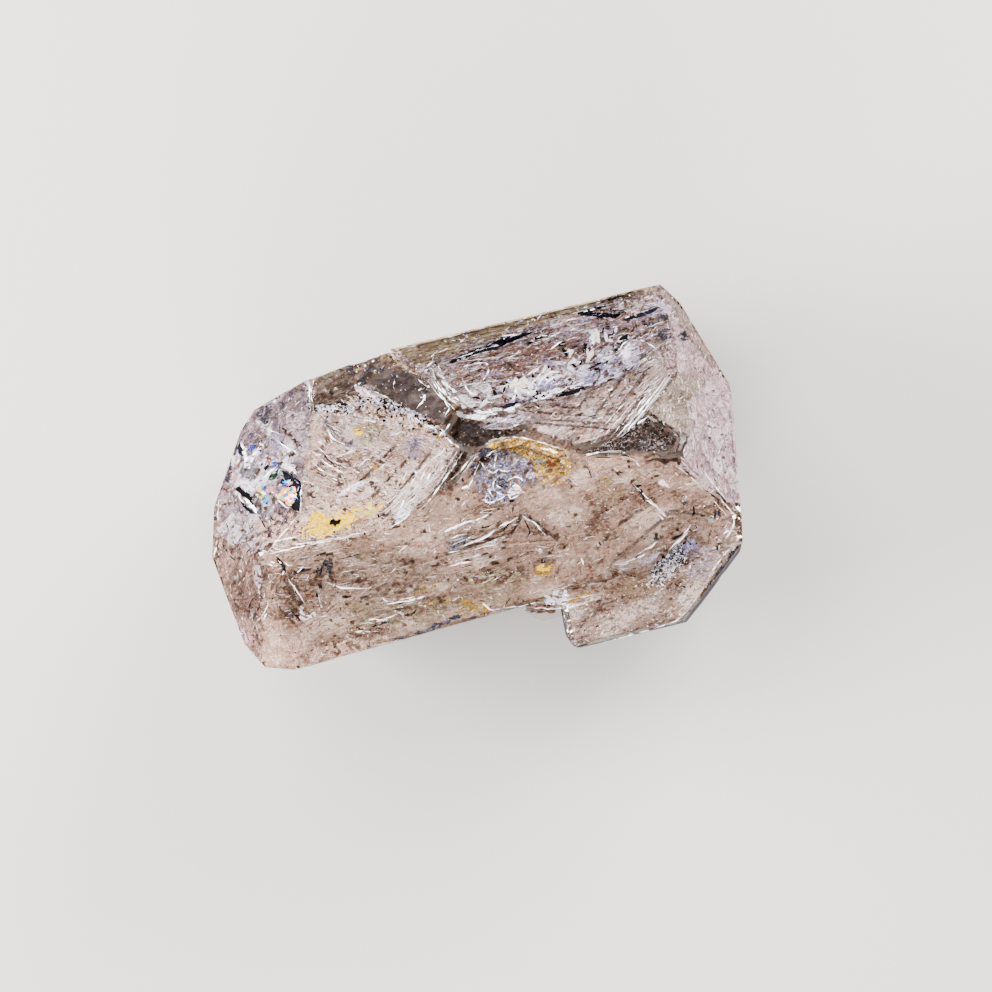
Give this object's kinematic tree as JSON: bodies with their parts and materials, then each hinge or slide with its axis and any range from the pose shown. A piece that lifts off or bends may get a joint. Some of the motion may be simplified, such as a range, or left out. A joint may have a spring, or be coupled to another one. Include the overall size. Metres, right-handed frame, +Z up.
{
  "type": "skeletal quartz crystal",
  "caption": "Skeletal quartz crystal lying on a flat face: a clear hexagonal prism with hollow stepped faces, blunt ends and a shorter crystal grown on one side.",
  "frame": {"origin": "middle of the base of the bounding box, on the surface that the crystal lies on", "axes": "+X along the crystal's long axis towards the end that has the broad bright termination, +Y across it away from the side crystal, +Z up"},
  "size_m": [0.0466, 0.0288, 0.0174],
  "materials": {
    "quartz": "clear, faintly pinkish grey quartz with a glassy lustre, growth lines, etched ledges, healed cracks and ochre stained films inside"
  },
  "bodies": {
    "root": {"quartz_crystal": "quartz"}
  },
  "joints": []
}
